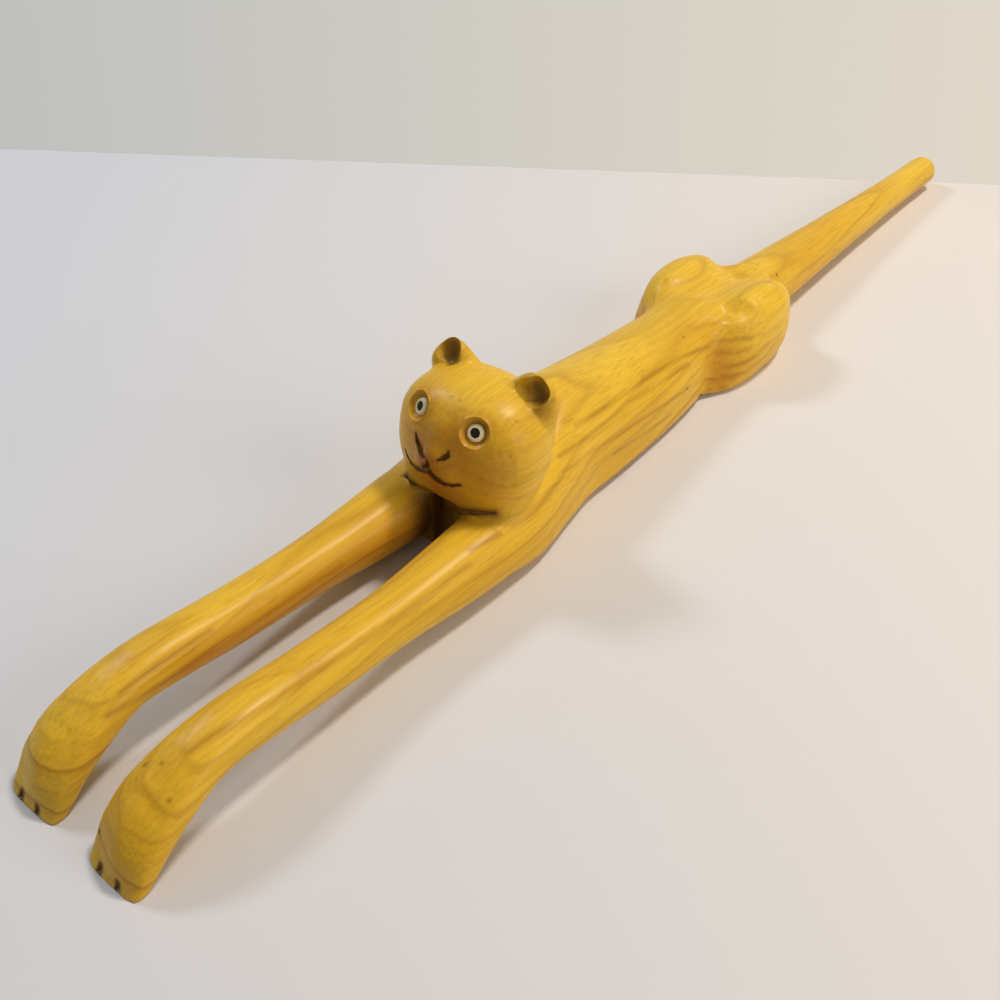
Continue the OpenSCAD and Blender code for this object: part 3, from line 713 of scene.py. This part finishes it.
# Torso: the pine blank from the shoulders to the rump, with dark growth lines along its flanks.
# It is bored for every dowel and for the tail's tenon, which are glued in.
bore_for(torso, "neck_dowel", neck_axis, neck_dowel_length)
for dowel in shoulder_dowels:
    bore_for(torso, dowel, Vector((0, 1, 0)), shoulder_dowel_length)
for dowel in hip_dowels:
    bore_for(torso, dowel, Vector((1, 0, 0)), hip_dowel_length)
bit_run_out = 10 * mm
drill(torso, tail_root - tail_axis * (tenon_length - bit_run_out) / 2, tail_axis, tenon_radius + glue_gap,
      tenon_length + bit_run_out + end_gap)
back_streaks = [along_skin(torso, (14, -61, 27.5), (13, -28, 25), (13, -1, 22), (14, 14, 19)),
                along_skin(torso, (17.5, -73, 25.5), (16.5, -57, 23.5), (15.5, -33, 23), (15, 0, 19.5))]
flank_streaks = [along_skin(torso, (21.5, -99, 19), (22.5, -90, 19), (19.5, -73, 21.5), (18.5, -50, 18),
                            (18.5, -20, 15), (17.5, -2, 12.5)),
                 along_skin(torso, (19, -47, 12), (18.5, -14, 8.5))]
# Painted shade: dark brown in the chin crease and in the cleft between the arms, and deep orange on the
# thigh fronts.
finish_in_pine(
    torso, "torso",
    shade_and_specks=(([chin_crease], 1.5 * mm, 0.85, soft),
            (both_sides((3, -101, 3), (3, -101, 18)), 7 * mm, 0.93, soft)),
    streaks=((back_streaks, 0.9 * mm, 0.65, soft), (flank_streaks, 0.8 * mm, 0.5, soft)),
    shade_amber=((thigh_fronts, 8 * mm, 0.5, soft),))


# Eyes: cream bone pegs with rounded ends, pressed into the sockets of the head.
# A black peg stands in each as its pupil, a little below the bone's own end.
pupil_radius = 1.35 * mm


def clouded(name, first, second, scale, detail, roughness, shine=0.5):
    """Finish that drifts between two colours in small clouds."""
    finish = bpy.data.materials.new(name)
    finish.use_nodes = True
    tree = finish.node_tree
    shader = tree.nodes["Principled BSDF"]
    place = tree.nodes.new("ShaderNodeTexCoord")
    cloud = tree.nodes.new("ShaderNodeTexNoise")
    cloud.inputs["Scale"].default_value = scale
    cloud.inputs["Detail"].default_value = detail
    blend = tree.nodes.new("ShaderNodeMix")
    blend.data_type = "RGBA"
    blend.inputs[6].default_value = first
    blend.inputs[7].default_value = second
    tree.links.new(place.outputs["Object"], cloud.inputs["Vector"])
    tree.links.new(cloud.outputs["Fac"], blend.inputs[0])
    tree.links.new(blend.outputs[2], shader.inputs["Base Color"])
    shader.inputs["Roughness"].default_value = roughness
    shader.inputs["Specular IOR Level"].default_value = shine
    return finish


def turned_peg(name, middle, axis, radius, foot, top, edge):
    """Peg along an axis, from a foot to a top below the face, with a rounded top edge."""
    bpy.ops.object.select_all(action="DESELECT")
    bpy.ops.mesh.primitive_cylinder_add(vertices=64, radius=radius, depth=foot - top)
    peg = bpy.context.object
    peg.name = name
    bpy.ops.object.mode_set(mode="EDIT")
    bpy.ops.mesh.select_all(action="DESELECT")
    bpy.ops.object.mode_set(mode="OBJECT")
    for rim in peg.data.edges:
        rim.select = all(peg.data.vertices[v].co.z > 0 for v in rim.vertices)
    bpy.ops.object.mode_set(mode="EDIT")
    bpy.ops.mesh.select_mode(type="EDGE")
    bpy.ops.mesh.bevel(offset=edge, segments=8, affect="EDGES")
    bpy.ops.object.mode_set(mode="OBJECT")
    peg.location = middle - axis * (foot + top) / 2
    peg.rotation_euler = lay_along(axis)
    bpy.ops.object.transform_apply()
    bpy.ops.object.shade_smooth_by_angle(angle=smooth_angle)
    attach(peg, "root")
    return peg


bone = clouded("bone", (0.98, 0.90, 0.54, 1), (0.92, 0.78, 0.40, 1), scale=900, detail=2, roughness=0.32)
black = clouded("black_peg", (0.010, 0.008, 0.007, 1), (0.028, 0.021, 0.017, 1), scale=1500, detail=2,
                roughness=0.18, shine=0.15)
for side, middle, axis in eyes:
    eye = turned_peg("bone_eye_" + side, middle, axis, eye_radius, eye_depth, eye_sink, 1.0 * mm)
    drill(eye, middle - axis * pupil_depth / 2, axis, pupil_radius + glue_gap, pupil_depth)
    eye.data.materials.clear()
    eye.data.materials.append(bone)
    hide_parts(side + "_eye")
    pupil_top = eye_sink + pupil_sink
    pupil = turned_peg("pupil_peg_" + side, middle, axis, pupil_radius, pupil_depth, pupil_top, 0.4 * mm)
    pupil.data.materials.append(black)
    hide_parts(side + "_pupil")


# Dowels: bare beech rods, glued into the bores of the neck, the shoulders and the hips.
# The carving hides them, so their solids stay as they are.
beech = clouded("bare_beech", (0.68, 0.46, 0.28, 1), (0.47, 0.28, 0.15, 1), scale=600, detail=4,
                roughness=0.7)
for name in dowel_nodes:
    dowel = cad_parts[name]
    dowel.data.materials.clear()
    dowel.data.materials.append(beech)


# The table: a smooth pale sheet that carries the cat, with painted light: darker and cooler on the window's
# side, lighter and warmer on the far side.
# Its far edge runs just behind the tail's end, in front of a plain wall.
edge_left = Vector((-360.3, -22.4, 0)) * mm
edge_right = Vector((29.4, 251.2, 0)) * mm
table_run = 3
table_depth = 4
warm_side = (0.774, 0.633, 0)
along = (edge_right - edge_left).normalized()
near = Vector((along.y, -along.x, 0))
far_left = edge_left - along * table_run
far_right = edge_right + along * table_run
bpy.ops.mesh.primitive_plane_add(size=1)
table = bpy.context.object
table.name = "table"
near_left = far_left + near * table_depth
near_right = far_right + near * table_depth
for vertex, corner in zip(table.data.vertices, (near_left, near_right, far_left, far_right)):
    vertex.co = corner
table.location.z = -0.02 * mm
bpy.ops.object.transform_apply()
paper = bpy.data.materials.new("table_paper")
paper.use_nodes = True
paper_tree = paper.node_tree
paper_shader = paper_tree.nodes["Principled BSDF"]
paper_place = paper_tree.nodes.new("ShaderNodeTexCoord")
paper_side = paper_tree.nodes.new("ShaderNodeVectorMath")
paper_side.operation = "DOT_PRODUCT"
paper_side.inputs[1].default_value = warm_side
paper_share = paper_tree.nodes.new("ShaderNodeMapRange")
paper_share.inputs["From Min"].default_value = -0.25
paper_share.inputs["From Max"].default_value = 0.16
# Painted light: the sheet's colour runs from darker and cooler to lighter and warmer across the table.
table_light_tint = paper_tree.nodes.new("ShaderNodeMix")
table_light_tint.data_type = "RGBA"
table_light_tint.inputs[6].default_value = (0.68, 0.70, 0.76, 1)
table_light_tint.inputs[7].default_value = (0.83, 0.78, 0.74, 1)
paper_tree.links.new(paper_place.outputs["Object"], paper_side.inputs[0])
paper_tree.links.new(paper_side.outputs["Value"], paper_share.inputs["Value"])
paper_tree.links.new(paper_share.outputs[0], table_light_tint.inputs[0])
paper_tree.links.new(table_light_tint.outputs[2], paper_shader.inputs["Base Color"])
paper_shader.inputs["Roughness"].default_value = 0.6
paper_shader.inputs["Specular IOR Level"].default_value = 0.2
table.data.materials.append(paper)


# The room: the view, its mirrorings and glass show a plain wall, with painted light: darker and cooler on
# the window's side.
# The rest of the room's light is dim and even, so that the table keeps the cat's shadow.
world = bpy.data.worlds.new("room")
bpy.context.scene.world = world
world.use_nodes = True
room = world.node_tree
sky = room.nodes["Background"]
sky.inputs["Color"].default_value = (0.95, 0.95, 0.97, 1)
sky.inputs["Strength"].default_value = 0.20
wall = room.nodes.new("ShaderNodeBackground")
view = room.nodes.new("ShaderNodeTexCoord")
view_side = room.nodes.new("ShaderNodeVectorMath")
view_side.operation = "DOT_PRODUCT"
view_side.inputs[1].default_value = warm_side
wall_share = room.nodes.new("ShaderNodeMapRange")
wall_share.inputs["From Min"].default_value = -0.40
wall_share.inputs["From Max"].default_value = 0.40
# Painted light: the wall runs from darker and cooler to lighter and warmer.
wall_light_tint = room.nodes.new("ShaderNodeMix")
wall_light_tint.data_type = "RGBA"
wall_light_tint.inputs[6].default_value = (0.52, 0.525, 0.515, 1)
wall_light_tint.inputs[7].default_value = (0.75, 0.69, 0.585, 1)
room.links.new(view.outputs["Generated"], view_side.inputs[0])
room.links.new(view_side.outputs["Value"], wall_share.inputs["Value"])
room.links.new(wall_share.outputs[0], wall_light_tint.inputs[0])
room.links.new(wall_light_tint.outputs[2], wall.inputs["Color"])
rays = room.nodes.new("ShaderNodeLightPath")
seen = room.nodes.new("ShaderNodeMath")
seen.operation = "ADD"
seen.use_clamp = True
room.links.new(rays.outputs["Is Camera Ray"], seen.inputs[0])
room.links.new(rays.outputs["Is Glossy Ray"], seen.inputs[1])
seen_through = room.nodes.new("ShaderNodeMath")
seen_through.operation = "ADD"
seen_through.use_clamp = True
room.links.new(seen.outputs[0], seen_through.inputs[0])
room.links.new(rays.outputs["Is Transmission Ray"], seen_through.inputs[1])
mix = room.nodes.new("ShaderNodeMixShader")
room.links.new(seen_through.outputs[0], mix.inputs[0])
room.links.new(sky.outputs[0], mix.inputs[1])
room.links.new(wall.outputs[0], mix.inputs[2])
room.links.new(mix.outputs[0], room.nodes["World Output"].inputs[0])


# Light and camera: a cool window on the cat's right, a warm lamp above its tail and a pale wall on its left.
# The camera stands before the paws, to the cat's left, and looks down on the face.
aim = Vector((0, -0.03, 0.02))
for name, place, size, energy, colour in (
        ("window", (-0.80, -0.12, 0.85), 0.24, 3.4, (0.88, 0.94, 1.0)),
        ("ceiling_lamp", (0.20, 0.42, 1.15), 0.20, 8.2, (1.0, 0.91, 0.79)),
        ("pale_wall", (0.95, 0.10, 0.48), 0.65, 3.6, (1.0, 0.93, 0.82))):
    bpy.ops.object.light_add(type="AREA", location=place)
    light = bpy.context.object
    light.name = name
    light.data.shape = "DISK"
    light.data.size = size
    light.data.energy = energy
    light.data.color = colour
    light.rotation_euler = lay_along(light.location - aim)

camera_place = Vector((164.8, -279.7, 217.8)) * mm
bpy.ops.object.camera_add(location=camera_place)
camera = bpy.context.object
azimuth = Matrix.Rotation(math.radians(39.29), 3, "Z")
pitch = Matrix.Rotation(math.radians(90 - 39.45), 3, "X")
roll = Matrix.Rotation(math.radians(0.34), 3, "Z")
camera.rotation_euler = (azimuth @ pitch @ roll).to_euler()
camera.data.lens = 40.54
camera.data.sensor_width = 36
camera.data.clip_start = 0.01
camera.data.clip_end = 20
bpy.context.scene.camera = camera
bpy.context.scene.view_settings.view_transform = "Standard"
